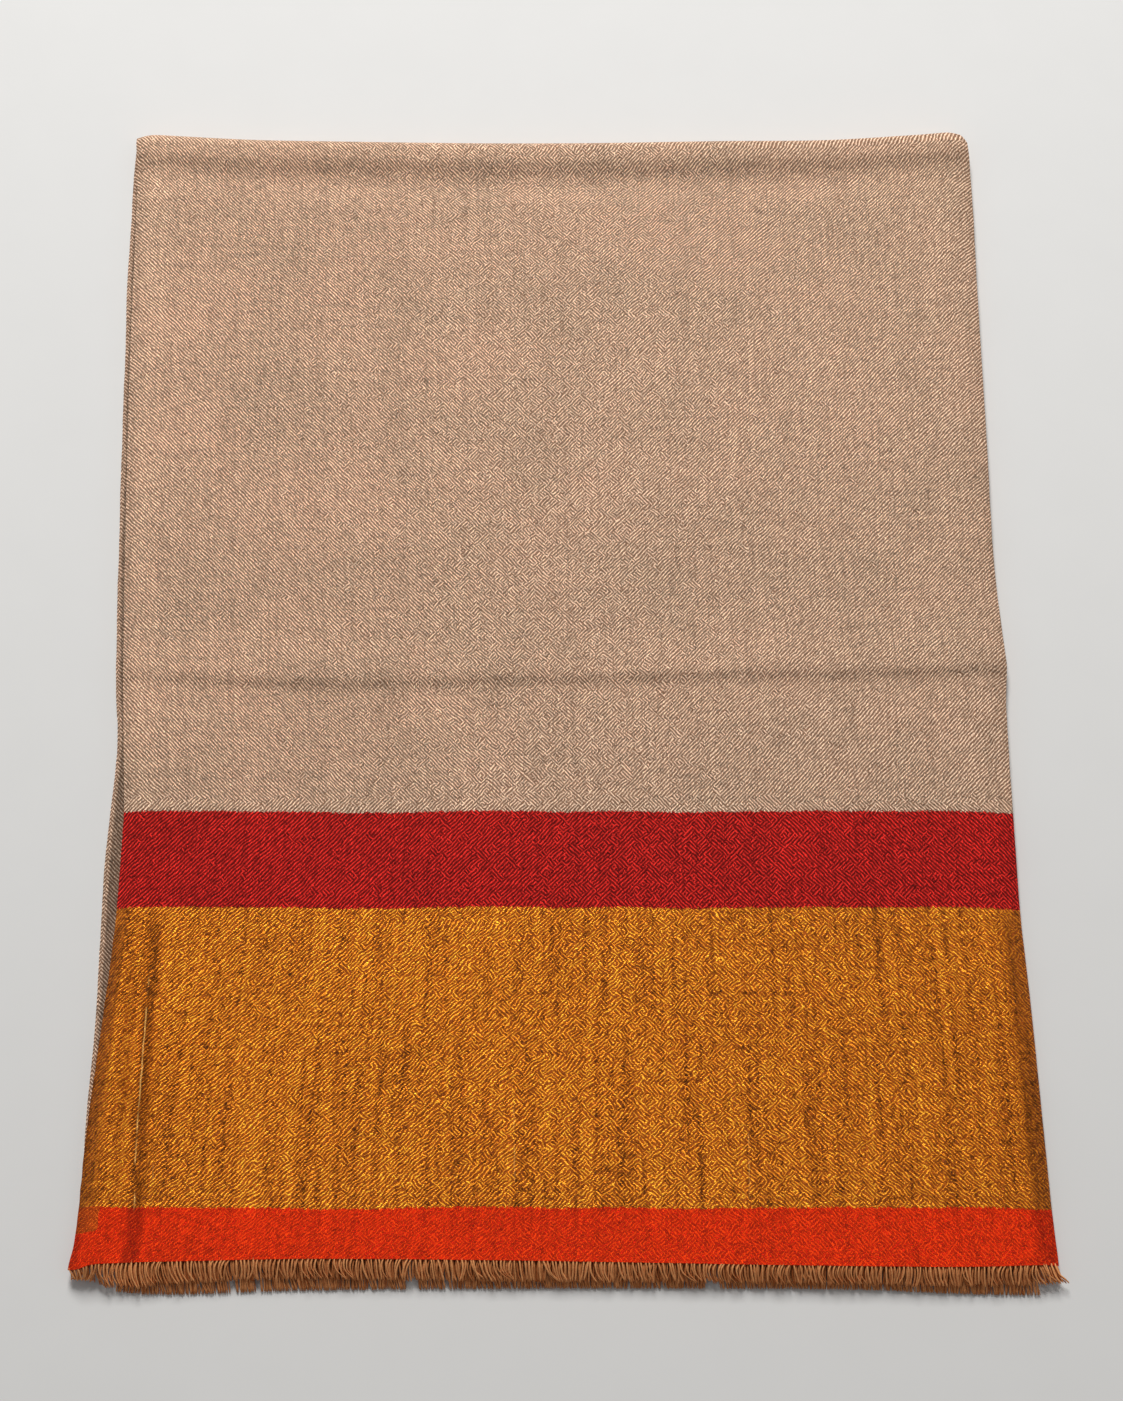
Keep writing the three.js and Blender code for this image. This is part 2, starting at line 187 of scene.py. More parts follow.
def column(table, key, value):
    """A smooth curve through one column of a table, held level past its ends."""
    places = [row[key] for row in table]
    values = [row[value] for row in table]
    last = len(table) - 1
    slopes = [
        (values[min(i + 1, last)] - values[max(i - 1, 0)])
        / (places[min(i + 1, last)] - places[max(i - 1, 0)])
        for i in range(len(table))
    ]

    def at(place):
        if place <= places[0]:
            return values[0]
        if place >= places[last]:
            return values[last]
        i = 0
        while place > places[i + 1]:
            i += 1
        span = places[i + 1] - places[i]
        t = (place - places[i]) / span
        rise = values[i + 1] - values[i]
        bend = slopes[i] * span * (1 - t) - slopes[i + 1] * span * t + rise * (2 * t - 1)
        return values[i] + rise * t + t * (1 - t) * bend

    return at


selvedge = column(LEFT, "y", "top")
low_selvedge = column(LEFT, "y", "low")
fold_side = column(RIGHT, "y", "x")
back_edge = column(ACROSS, "x", "back")
crease_line = column(ACROSS, "x", "crease")
cloth_end = column(ACROSS, "x", "end")
roll_in = column(BORDER_ROLL, "y", "roll")
valley_in = column(BORDER_ROLL, "y", "valley")
roll_strength = column(BORDER_ROLL, "y", "strength")


def lerp(a, b, t):
    return a + (b - a) * t


def ease(t, start, stop):
    t = min(max((t - start) / (stop - start), 0.0), 1.0)
    return t * t * (3 - 2 * t)


def bump(distance, reach):
    return math.exp(-((distance / reach) ** 2))


def waver(x, y, size, seed):
    """Smooth noise from -1 to 1, with swells about `size` mm across."""
    return noise.noise(Vector((x / size, y / size, seed)))


def uneven(name, x, y=0.0, seed=0):
    """One kind of unevenness at a place, in mm."""
    kind = UNEVEN[name]
    return kind["by"] * waver(x, y, kind["size"], kind["seed"] + seed)


# The face of the folded stole


def flank(shape, distance, in_border):
    """How far the top ply has dropped at a distance in from one of its long edges."""
    drop = lerp(shape["drop"], shape["border_drop"], in_border)
    return drop * max(1 - distance / shape["width"], 0) ** FLANK_CURVE


def top_height(x, y):
    """Height of the top ply's upper face at a place on the stole, in mm."""
    from_back = back_edge(x) - y
    off_centre = abs(x - TROUGH_FADE["centre"])
    middle = 1 - ease(off_centre, TROUGH_FADE["start"], TROUGH_FADE["stop"])
    roll = ROLL["rise"] * bump(max(from_back - ROLL["set_in"], 0), ROLL["reach"])
    trough = TROUGH["depth"] * lerp(TROUGH["side_share"], 1, middle)
    trough *= bump(from_back - TROUGH["set_in"], TROUGH["reach"])

    from_crease = y - crease_line(x) - CREASE["ahead"] - uneven("crease line", x)
    pinch = CREASE["rise"] + uneven("crease rise", x)
    pinch *= lerp(CREASE_FADE["share"], 1, ease(x, CREASE_FADE["start"], CREASE_FADE["stop"]))
    crease = pinch * bump(from_crease, CREASE["back" if from_crease > 0 else "front"])
    hollow = HOLLOW["depth"] * bump(from_crease + HOLLOW["set_in"], HOLLOW["reach"])

    in_border = ease(-y, BORDER_FADE["start"], BORDER_FADE["stop"])
    from_left = max(x - selvedge(y), 0)
    from_right = max(fold_side(y) - x, 0)
    flanks = flank(LEFT_FLANK, from_left, in_border) + flank(RIGHT_FLANK, from_right, in_border)
    ridge = BORDER_RIDGE["height"] * bump(from_left - roll_in(y), BORDER_RIDGE["reach"])
    valley = BORDER_VALLEY["depth"] * bump(from_left - valley_in(y), BORDER_VALLEY["reach"])

    slack = uneven("slack", x, y) + uneven("ripple", x, y)
    slack += in_border * uneven("pucker", x, y * PUCKER_STRETCH)
    free = ease(from_right, 0, PRESSED["side"]) * ease(from_back, ROLL_RUN, PRESSED["back"])
    return (STACK_HEIGHT + roll - trough + crease - hollow - flanks
            + roll_strength(y) * (ridge - valley) + free * slack)


def along_cloth(x, row):
    """A row of the cloth follows the crease and both ends instead of running dead straight."""
    near_back = ease(row, BACK - BACK_SPREAD["start"], BACK - BACK_SPREAD["stop"])
    near_end = ease(-row, -CLOTH_END - ORANGE_WIDTH, -CLOTH_END)
    return (
        row + near_back * (back_edge(x) - BACK) + bump(row, CREASE_SPREAD) * crease_line(x)
        + near_end * (cloth_end(x) - CLOTH_END)
    )


# The folded path: four lengths of doubled cloth, joined by three turns


@dataclass(frozen=True)
class Station:
    """One row of the cloth on its folded path.

    A row lies on a turn whose axis is `axis` of the stack's height up and whose radius is `radius`
    of that height. On a flat length the turn's angle is 0 or a half turn.
    """

    row: float  # where the turn's axis is, or the row on a flat length
    axis: float
    radius: float
    angle: float
    forward: int  # -1 where the turn bulges to the front, +1 to the back
    outside: int  # +1 where the cloth's outer ply is outside the turn
    along: float  # mm of cloth from the end that lies on top
    length: float  # which of LENGTHS it lies on, in between on a turn


# The three turns, in the order of the cloth, and the turn and angle that each flat length takes.
BACK_TURN = BACK - ROLL_RUN
BACK_HEIGHT = STACK_HEIGHT + ROLL["rise"]
TURNS = [
    {"axis": 0.5, "radius": 0.375, "forward": 1, "outside": 1, "row": BACK_TURN,
     "height": BACK_HEIGHT},
    {"axis": 0.25, "radius": 0.125, "forward": -1, "outside": 1, "row": FRONT_TURN,
     "height": STACK_HEIGHT},
    {"axis": 0.5, "radius": 0.125, "forward": 1, "outside": -1, "row": BACK_TURN,
     "height": BACK_HEIGHT},
]
FLATS = [
    {"turn": 0, "angle": 0.0},
    {"turn": 1, "angle": math.pi},
    {"turn": 1, "angle": 0.0},
    {"turn": 2, "angle": 0.0},
]


def length_of_cloth(index, start, stop, along, spacing):
    """Stations on one flat length, from row `start` to row `stop`."""
    flat = FLATS[index]
    turn = TURNS[flat["turn"]]
    count = max(1, round(abs(stop - start) / spacing))
    rows = [lerp(start, stop, i / count) for i in range(count + 1)]
    return [
        Station(row, turn["axis"], turn["radius"], flat["angle"], turn["forward"],
                turn["outside"], along + abs(row - start), index)
        for row in rows
    ]


def turn_of_cloth(index, along, steps):
    """Stations round one turn, without its first, which ends the length before it."""
    turn = TURNS[index]
    arc = math.pi * turn["radius"] * turn["height"]
    upwards = index != 0       # from a lower length to a higher one
    stations = []
    for step in range(1, steps + 1):
        share = step / steps
        angle = math.pi * (1 - share if upwards else share)
        stations.append(
            Station(turn["row"], turn["axis"], turn["radius"], angle, turn["forward"],
                    turn["outside"], along + arc * share, index + share)
        )
    return stations


def whole_path(spacing, steps):
    """Every station of the folded cloth: its top length, the turn at the back, and the rest."""
    top = length_of_cloth(0, CLOTH_END, BACK_TURN, 0.0, spacing)
    back = turn_of_cloth(0, top[-1].along, steps)
    bottom = length_of_cloth(1, BACK_TURN, FRONT_TURN, back[-1].along, spacing)
    front = turn_of_cloth(1, bottom[-1].along, steps)
    second = length_of_cloth(2, FRONT_TURN, BACK_TURN, front[-1].along, spacing)
    inner = turn_of_cloth(2, second[-1].along, steps)
    third = length_of_cloth(3, BACK_TURN, UNDER_END, inner[-1].along, spacing)
    rest = bottom[1:] + front + second[1:] + inner + third[1:]
    return top, back, rest


@dataclass(frozen=True)
class Place:
    """A place across the doubled cloth: a share of its width and a step in from that side."""

    share: float
    step: float
    turned: float  # 0 on the outer ply, a half turn on the inner one


def places(left_steps, right_steps, middle, ply):
    """Places across one ply, from its selvedge to the lengthwise fold."""
    turned = 0.0 if ply == "outer" else math.pi
    found = [Place(0.0, step, turned) for step in left_steps]
    inner, outer = left_steps[-1], right_steps[-1]
    for i in range(1, middle):
        share = i / middle
        found.append(Place(share, lerp(inner, -outer, share), turned))
    return found + [Place(1.0, -step, turned) for step in reversed(right_steps)]


def hairpin(steps):
    """Places round the lengthwise fold, without its first."""
    return [Place(1.0, 0.0, math.pi * (i + 1) / steps) for i in range(steps)]


PITCH = STACK_HEIGHT / PLIES
HAIRPIN_SHARE = 0.94  # of a ply's pitch: the outer radius of the lengthwise fold
SINK = {"width": 10.0, "share": 0.5, "curve": 1.5}  # the plies beneath thin out at the selvedges
CORNER = 2.4  # how much the outer turn's right corner is rounded, in mm
STILL = 0.6  # share of the first turn over which the selvedges start to stray
EDGES = {"left": -180, "right": 178}  # about where the long edges are, to place their rows


def between_lengths(station, key):
    """A value of LENGTHS, easing from one length to the next on a turn."""
    first = int(min(station.length, len(LENGTHS) - 1))
    second = min(first + 1, len(LENGTHS) - 1)
    return lerp(LENGTHS[first][key], LENGTHS[second][key], ease(station.length - first, 0, 1))


def cloth_point(station, place):
    """Where a place on the cloth lies, in mm, and its place on the cloth's own map, in metres."""
    on_inner = place.turned > math.pi / 2
    edge_y = along_cloth(EDGES["left" if place.share < 0.5 else "right"], station.row)
    along = station.along
    seed = INNER_SEED if on_inner else 0
    free = ease(station.length, 0, STILL)
    left = lerp(selvedge(edge_y), low_selvedge(edge_y), between_lengths(station, "low"))
    left += between_lengths(station, "inner" if on_inner else "outer")
    left += uneven("selvedge loops", along, seed=seed)
    left += free * uneven("selvedge stray", along, seed=seed)

    on_first_turn = 0 < station.length < 1
    rounding = CORNER * math.sin(station.angle) if on_first_turn else 0.0
    right = fold_side(edge_y) - between_lengths(station, "fold") - rounding
    right += uneven("fold loops", along) + free * uneven("fold stray", along)

    x = lerp(left, right - HAIRPIN_SHARE * PITCH, place.share) + place.step
    x += HAIRPIN_SHARE * PITCH * math.sin(place.turned)

    y = along_cloth(x, station.row)
    height = top_height(x, y)
    if station.length > 0:
        sink = max(1 - (x - low_selvedge(y)) / SINK["width"], 0) ** SINK["curve"]
        height *= 1 - SINK["share"] * ease(station.length, 0, 1) * sink
    ply = height / PLIES
    reach = HAIRPIN_SHARE + (1 - HAIRPIN_SHARE) * (station.length == 0 and not on_inner)
    offset = ply * reach * math.cos(place.turned) * station.outside
    radius = station.radius * height + offset
    point = Vector((
        x,
        y + station.forward * radius * math.sin(station.angle),
        station.axis * height + radius * math.cos(station.angle),
    ))
    across = place.share * HALF_CLOTH + place.step
    in_hairpin = place.turned > 0 and place.share == 1.0 and place.step == 0
    if in_hairpin:
        across = HALF_CLOTH + HAIRPIN_SHARE * PITCH * place.turned
    elif place.turned > 0:
        across = 2 * HALF_CLOTH + HAIRPIN_SHARE * PITCH * math.pi - across
    return point, Vector((across * MM, along * MM))


# Mesh helpers


CLOTH_MAP = "cloth"


def shape_sheet(bm, stations, across, spots):
    """Adds a grid to the mesh and lays it on the cloth's folded path."""
    made = bmesh.ops.create_grid(
        bm, x_segments=len(across) - 1, y_segments=len(stations) - 1, size=1.0)
    for vert in made["verts"]:
        i = round((vert.co.x + 1) / 2 * (len(across) - 1))
        j = round((vert.co.y + 1) / 2 * (len(stations) - 1))
        point, spot = cloth_point(stations[j], across[i])
        vert.co = point * MM
        spots[vert] = spot


def write_map(bm, spots):
    """Writes the cloth's own map, from the place of each vertex on the cloth."""
    layer = bm.loops.layers.uv.new(CLOTH_MAP)
    for face in bm.faces:
        for loop in face.loops:
            loop[layer].uv = spots[loop.vert]


CRISP = math.radians(50)  # a sharper edge than this stays crisp


def finished(name, bm, material, thickness=None):
    """Makes the mesh an object at the origin, with its wall applied and its rims left crisp."""
    mesh = bpy.data.meshes.new(name)
    bm.to_mesh(mesh)
    bm.free()
    mesh.materials.append(material)
    mesh.polygons.foreach_set("use_smooth", [True] * len(mesh.polygons))
    piece = bpy.data.objects.new(name, mesh)
    bpy.context.scene.collection.objects.link(piece)
    if thickness:
        wall = piece.modifiers.new("Wall", "SOLIDIFY")
        wall.thickness = thickness
        wall.offset = -1
        wall.use_even_offset = True
        graph = bpy.context.evaluated_depsgraph_get()
        walled = bpy.data.meshes.new_from_object(piece.evaluated_get(graph))
        piece.modifiers.clear()
        piece.data = walled
        walled.name = name
        walled.set_sharp_from_angle(angle=CRISP)
    return piece


# Shader helpers


def operator(name):
    """A method that joins a socket and one other value by a Math node."""
    return lambda self, other: self.maths(name, other)


class Wire:
    """A shader socket that takes part in Python arithmetic."""

    def __init__(self, shader, socket):
        self.shader = shader
        self.socket = socket

    def maths(self, operation, *others, clamp=False):
        values = dict(enumerate((self, *others)))
        return self.shader.node("ShaderNodeMath", values, operation=operation, use_clamp=clamp)

    __add__ = __radd__ = operator("ADD")
    __sub__ = operator("SUBTRACT")
    __mul__ = __rmul__ = operator("MULTIPLY")
    __truediv__ = operator("DIVIDE")
    above = operator("GREATER_THAN")
    below = operator("LESS_THAN")

    def __rsub__(self, other):
        return (self * -1.0) + other

    def floor(self):
        return self.maths("FLOOR")

    def clamped(self):
        return self.maths("ADD", 0.0, clamp=True)

    def tinted(self, amount):
        """This colour, brightened by a number."""
        values = {0: self, "Scale": amount}
        return self.shader.node("ShaderNodeVectorMath", values, operation="SCALE")


class Shader:
    """A material whose nodes are written as expressions."""

    def __init__(self, name):
        self.material = bpy.data.materials.new(name)
        self.material.use_nodes = True
        self.nodes = self.material.node_tree.nodes
        self.links = self.material.node_tree.links
        self.nodes.clear()

    def node(self, kind, values=None, output=0, **settings):
        made = self.nodes.new(kind)
        for name, setting in settings.items():
            setattr(made, name, setting)
        for key, value in (values or {}).items():
            socket = made.inputs[key]
            if isinstance(value, Wire):
                self.links.new(value.socket, socket)
            else:
                socket.default_value = value
        return Wire(self, made.outputs[output]) if made.outputs else None

    def mix(self, factor, low, high, blend="MIX"):
        """A colour between two colours."""
        low = low if isinstance(low, Wire) else (*low, 1.0)
        high = high if isinstance(high, Wire) else (*high, 1.0)
        return self.node("ShaderNodeMix", {0: factor, 6: low, 7: high}, 2,
                         data_type="RGBA", blend_type=blend)

    def between(self, factor, low, high):
        """A number between two numbers."""
        return self.node("ShaderNodeMix", {0: factor, 2: low, 3: high}, 0, data_type="FLOAT")

    def vector(self, x, y, z=0.0):
        return self.node("ShaderNodeCombineXYZ", {0: x, 1: y, 2: z})

    def noise(self, vector, scale, detail=1.0, roughness=0.5):
        values = {"Vector": vector, "Scale": scale, "Detail": detail, "Roughness": roughness}
        return self.node("ShaderNodeTexNoise", values, noise_dimensions="3D")

    def random(self, number):
        return self.node("ShaderNodeTexWhiteNoise", {"W": number}, noise_dimensions="1D")

    def smooth(self, value, start, stop):
        values = {"Value": value, "From Min": start, "From Max": stop}
        return self.node("ShaderNodeMapRange", values, interpolation_type="SMOOTHSTEP")

    def surface(self, colour, roughness, height, depth, metallic=0.0, specular=0.12):
        """The Principled surface that every finish ends in."""
        normal = self.node("ShaderNodeBump", {"Strength": 1.0, "Distance": depth,
                                              "Height": height})
        shaded = self.node("ShaderNodeBsdfPrincipled", {
            "Base Color": colour, "Roughness": roughness, "Metallic": metallic,
            "Normal": normal, "Specular IOR Level": specular,
        })
        self.node("ShaderNodeOutputMaterial", {"Surface": shaded})
        return self.material


# Finishes of the woven cloth


THREAD = 0.40 * MM  # from one thread to the next, both ways
COARSE_THREAD = 0.44 * MM  # the same in the bands
FLOAT = 4  # threads in one repeat of the twill: over two, under two
RAGGED = 0.8 * MM  # how far single threads carry a colour past a band's edge
WAVE = 4.0 * MM  # how much the weft waves where the colours change
FLOAT_DEPTH = 0.14 * MM  # how deep the relief of the floats is
LOOSE = {"bands": 9.0, "field": 5.0}  # how far threads lie out of line, in threads
ROUGH_SPACING, ROUGH_STEPS = 50, 8  # enough to measure the whole path by


# The woven stretches: where each starts, in mm from the end of the cloth, how much its threads
# differ in brightness, how strong its streaks along the warp and bars along the weft are, how much
# small groups of its floats differ (random flecks; in the gold, painted glints), and how it
# shines.
STRETCHES = {
    "orange": {"start": 0.0, "grain": 0.5, "streak": 0.7, "bar": 0.0, "fleck_and_painted_glint": 1.0,
               "metal": 0.0, "roughness": 0.7},
    "gold": {"start": GOLD_START, "grain": 0.8, "streak": 2.0, "bar": 0.0, "fleck_and_painted_glint": 2.3,
             "metal": 0.75, "roughness": 0.45},
    "red": {"start": RED_START, "grain": 0.8, "streak": 0.25, "bar": 0.3, "fleck_and_painted_glint": 1.5,
            "metal": 0.0, "roughness": 0.8},
    "field": {"start": FIELD_START, "grain": 0.7, "streak": 0.14, "bar": 0.24, "fleck_and_painted_glint": 0.8,
              "metal": 0.0, "roughness": 0.9},
}


LOOKS = ("grain", "streak", "bar", "fleck_and_painted_glint", "metal", "roughness")
THREAD_SHARE = 0.3  # of the grain: how much whole threads differ
FLOAT_GRAIN = 0.6  # how much single floats differ
MOTTLE = 0.36  # how strong the broad mottling is
BLUSH = {"cool": (0.99, 1.0, 0.99), "warm": (1.02, 0.99, 0.98)}
LEAN = {"spread": 3.2, "bands": 0.92, "change": 0.6}  # how the twill turns over, side to side
SIDE = 0.35  # the width over which it does, in metres

# Noise patterns on the cloth: swells to a metre or to a thread across and along, and their kind.
PATTERNS = {
    "drift": {"across": 115, "along": 115, "seed": 0, "detail": 3, "roughness": 0.7},
    "sway": {"across": 130, "along": 130, "seed": 91, "detail": 3, "roughness": 0.7},
    "wave": {"across": 16, "along": 0, "seed": 0, "detail": 3, "roughness": 0.5},
    "patches": {"across": 190, "along": 190, "seed": 798, "detail": 3, "roughness": 0.65},
    "warp slub": {"across": 0.73, "along": 34, "seed": 0, "detail": 2, "roughness": 0.5},
    "weft slub": {"across": 42, "along": 0.61, "seed": 9, "detail": 2, "roughness": 0.5},
    "streaks": {"across": 300, "along": 11, "seed": 2, "detail": 4, "roughness": 0.65},
    "bars": {"across": 18, "along": 300, "seed": 5, "detail": 3, "roughness": 0.65},
    "mottle": {"across": 24, "along": 24, "seed": 31.2, "detail": 5, "roughness": 0.7},
    "flecks_and_painted_glints": {"across": 380, "along": 380, "seed": 2508, "detail": 3, "roughness": 0.6},
}


def pattern(s, name, across, along):
    """One of PATTERNS at a place on the cloth."""
    kind = PATTERNS[name]
    at = s.vector(across * kind["across"], along * kind["along"], kind["seed"])
    return s.noise(at, 1.0, kind["detail"], kind["roughness"])


def yarns():
    """The colours of the stretches' warp and weft."""
    colours = bpy.context.scene.stole_colours
    return {
        stretch: {key: tuple(getattr(colours, f"{stretch}_{key}")) for key in ("warp", "weft")}
        for stretch in STRETCHES
    }


def woven(name, stretches, ends=1):
    """Twill in the yarns of the named stretches, listed from the end of the cloth inwards."""
    s = Shader(name)
    uv = s.node("ShaderNodeUVMap", uv_map=CLOTH_MAP)
    across = s.node("ShaderNodeSeparateXYZ", {0: uv}, 0)
    along = s.node("ShaderNodeSeparateXYZ", {0: uv}, 1)
    from_end = along
    if ends == 2:
        rest = whole_path(ROUGH_SPACING, ROUGH_STEPS)[2]
        from_end = along.maths("MINIMUM", rest[-1].along * MM - along)

    # Threads, drawn out of line so that the twill lines waver
    drift = pattern(s, "drift", across, along)
    sway = pattern(s, "sway", across, along)
    in_red = s.smooth(from_end, (RED_START - 4) * MM, (RED_START + 4) * MM)
    loose = s.between(in_red, LOOSE["bands"], LOOSE["field"])
    pitch = s.between(from_end.above(FIELD_START * MM), COARSE_THREAD, THREAD)
    warp_at = across / pitch + (drift - 0.5) * loose
    weft_at = along / pitch + (sway - 0.5) * loose
    i = warp_at.floor()
    j = weft_at.floor()
    across_thread = warp_at - i
    along_thread = weft_at - j

    # Colours of the stretches, with ragged borders between them
    table = yarns()
    wave = pattern(s, "wave", across, along) - 0.5
    shift = (s.random(i) - 0.5) * RAGGED + wave * WAVE
    first, *others = stretches
    warp, weft = table[first]["warp"], table[first]["weft"]
    look = {key: STRETCHES[first][key] for key in LOOKS}
    for stretch in others:
        own = STRETCHES[stretch]
        inside = (from_end + shift).above(own["start"] * MM)
        warp = s.mix(inside, warp, table[stretch]["warp"])
        weft = s.mix(inside, weft, table[stretch]["weft"])
        look = {key: s.between(inside, value, own[key]) for key, value in look.items()}
    if "orange" in stretches:
        warp, weft, look["metal"] = carried_weft(
            s, across, from_end, shift, warp, weft, look["metal"], table)

    # The twill leans one way on the left and the other way on the right, in broken patches
    patches = pattern(s, "patches", across, along)
    side = s.smooth(across, 0.0, SIDE)
    banded = 1.0 - s.smooth(from_end, (FIELD_START + 2) * MM, (FIELD_START + 8) * MM)
    toward = s.between(banded, side, LEAN["bands"] - side * LEAN["change"])
    lean = ((patches - 0.5) * LEAN["spread"] + toward).above(0.5)
    sign = lean * 2.0 - 1.0
    diagonal = i - j * sign
    step = diagonal.maths("FLOORED_MODULO", float(FLOAT))
    warp_up = step.below(1.99)

    # Relief of the floats: each thread is round and dips where it passes under
    run_along = (0.5 - along_thread) * sign + 0.5
    warp_run = (step + run_along) / 2.0
    weft_run = (step - 2.0 + across_thread) / 2.0
    run = s.between(warp_up, weft_run, warp_run) * 2.0 - 1.0
    width = s.between(warp_up, along_thread, across_thread) * 2.0 - 1.0
    rounded = 1.0 - width * width
    dipped = 1.0 - (run * run) * (run * run)
    relief = (rounded * 0.6 + 0.4) * dipped

    # Unevenness: single threads, slubs along both ways, streaks, broad mottling and flecks, which
    # in the gold are painted glints
    own = s.between(warp_up, j + 0.37, i + 0.11)
    thread = s.random(own)
    floats = s.random(own * 7.31 + (diagonal / float(FLOAT)).floor())
    slub = s.between(warp_up, pattern(s, "weft slub", across, j),
                     pattern(s, "warp slub", i, along))
    streaks = pattern(s, "streaks", across, along)
    bars = pattern(s, "bars", across, along)
    mottle = pattern(s, "mottle", across, along)
    flecks_and_painted_glints = pattern(s, "flecks_and_painted_glints", across, along)
    bright = (1.0 + (thread - 0.5) * (look["grain"] * THREAD_SHARE)
              + (slub - 0.5) * look["grain"] + (streaks - 0.5) * look["streak"]
              + (bars - 0.5) * look["bar"] + (mottle - 0.5) * MOTTLE
              + (flecks_and_painted_glints - 0.5) * look["fleck_and_painted_glint"] + (floats - 0.5) * FLOAT_GRAIN)
    # The paler selvedge band, with painted shade and a painted highlight at the edges.
    bright = bright * selvedge_tone_and_painted_shade(s, across, from_end, ends)
    colour = s.mix(warp_up, weft, warp)
    blush = s.mix(s.smooth(mottle, 0.3, 0.7), BLUSH["cool"], BLUSH["warm"])
    colour = s.mix(1.0, colour, blush, "MULTIPLY")
    # Painted shade between threads: the colour is darkened where the floats dip and meet.
    colour = colour.tinted(bright.maths("MAXIMUM", 0.2) * (relief * 1.15 + 0.2))
    if "gold" in stretches:
        colour = pulled_threads(s, across, from_end, sway, colour)
    shine = look["metal"] * (1.0 - warp_up)
    height = relief + (flecks_and_painted_glints - 0.5) * 0.8
    return s.surface(colour, look["roughness"], height, FLOAT_DEPTH, shine)


def selvedge_tone_and_painted_shade(s, across, from_end, ends):
    """The closer, paler selvedge of the field, with painted shade on its outer edge and on the
    border's valley and flanks; painted shade and a painted highlighted rim on the edges of the
    plies beneath.
    """
    if ends == 2:
        # Painted shade: the plies beneath are darker towards their selvedges, where the stack
        # above shades them, and their outermost rim is painted lighter as a highlight.
        edge = across.maths("MINIMUM", 2 * HALF_CLOTH * MM - across)
        painted_rim_highlight = 1.0 - s.smooth(edge, 0.3 * MM, 1.5 * MM)
        return s.between(s.smooth(edge, 3 * MM, 13 * MM), 0.44, 1.0) + painted_rim_highlight * 0.38
    # The field's selvedge band is paler; its outer few millimetres are painted darker, as shade on
    # the flank where the top ply turns down.
    inside = s.smooth(across, 11 * MM, 13.5 * MM)
    outside = s.smooth(across, 1 * MM, 5 * MM)
    in_field = s.smooth(from_end, (FIELD_START - 1) * MM, (FIELD_START + 1) * MM)
    pale_band_and_painted_shade = s.between(inside, s.between(outside, 0.94, 1.08), 1.0)
    # Painted shade in the gold and orange border: darker along the valley beside the selvedge
    # roll, on the flank at the selvedge and on the flank by the lengthwise fold, where the cloth
    # turns away from the light.
    in_gold = s.smooth(from_end, (RED_START + 1) * MM, (RED_START - 12) * MM)
    valley = across + from_end * 0.055 - 23.2 * MM
    painted_valley_shade = 1.0 - s.smooth(valley.maths("ABSOLUTE"), 1.0 * MM, 5.0 * MM)
    painted_flank_shade = 1.0 - s.smooth(across, 1.2 * MM, 5.0 * MM)
    turned = s.smooth(across, (HALF_CLOTH - 9.5) * MM, (HALF_CLOTH - 5) * MM)
    painted_border_shade = 1.0 - in_gold * (painted_valley_shade * 0.44 + painted_flank_shade * 0.36 + turned * 0.30)
    line = 1.0 - s.smooth((across - 12.4 * MM).maths("ABSOLUTE"), 0.2 * MM, 0.9 * MM)
    up_field = s.smooth(from_end, 300 * MM, 420 * MM)
    return s.between(in_field, painted_border_shade, pale_band_and_painted_shade) + line * up_field * 0.12


def carried_weft(s, across, from_end, shift, warp, weft, metal, table):
    """The gold weft carried on at the selvedge past its band, which dulls that corner."""
    inward = (across + shift * 0.4).below(8.6 * MM)
    onward = (from_end + shift * 0.5).above(12.2 * MM)
    before = from_end.below((GOLD_START + 0.4) * MM)
    patch = inward * onward * before
    gold, orange = table["gold"], table["orange"]
    dull_weft = tuple(0.32 * g + 0.42 * o for g, o in zip(gold["weft"], orange["warp"]))
    dull_warp = tuple(0.50 * g + 0.34 * o for g, o in zip(gold["warp"], orange["warp"]))
    return (s.mix(patch, warp, dull_warp), s.mix(patch, weft, dull_weft),
            s.between(patch, metal, 0.1))


# Loose threads in the gold band: where each starts and ends, across and along the cloth, in mm.
PULLED = [
    {"across": 21.6, "drift": -5.6, "near": 17, "far": 112, "width": 0.45, "strength": 1.0},
    {"across": 28.0, "drift": -0.6, "near": 22, "far": 38, "width": 0.4, "strength": 0.5},
    {"across": 161.0, "drift": -1.0, "near": 30, "far": 62, "width": 0.35, "strength": 0.4},
    {"across": 247.0, "drift": 0.6, "near": 24, "far": 50, "width": 0.35, "strength": 0.4},
]


def pulled_threads(s, across, from_end, sway, colour):
    """Pale threads pulled loose along the warp."""
    for pull in PULLED:
        span = (pull["far"] - pull["near"]) * MM
        run = (from_end - pull["near"] * MM) / span
        centre = (run * pull["drift"] + pull["across"]) * MM + (sway - 0.5) * (0.8 * MM)
        off = (across - centre).maths("ABSOLUTE")
        on_line = 1.0 - s.smooth(off, 0.2 * pull["width"] * MM, pull["width"] * MM)
        broken = s.smooth(s.noise(s.vector(from_end * 90.0, pull["across"]), 1.0, 3.0), 0.4, 0.58)
        there = s.smooth(run, 0.0, 0.08) * (1.0 - s.smooth(run, 0.94, 1.0)) * broken
        colour = s.mix(on_line * there * pull["strength"], colour, (0.95, 0.50, 0.13))
    return colour


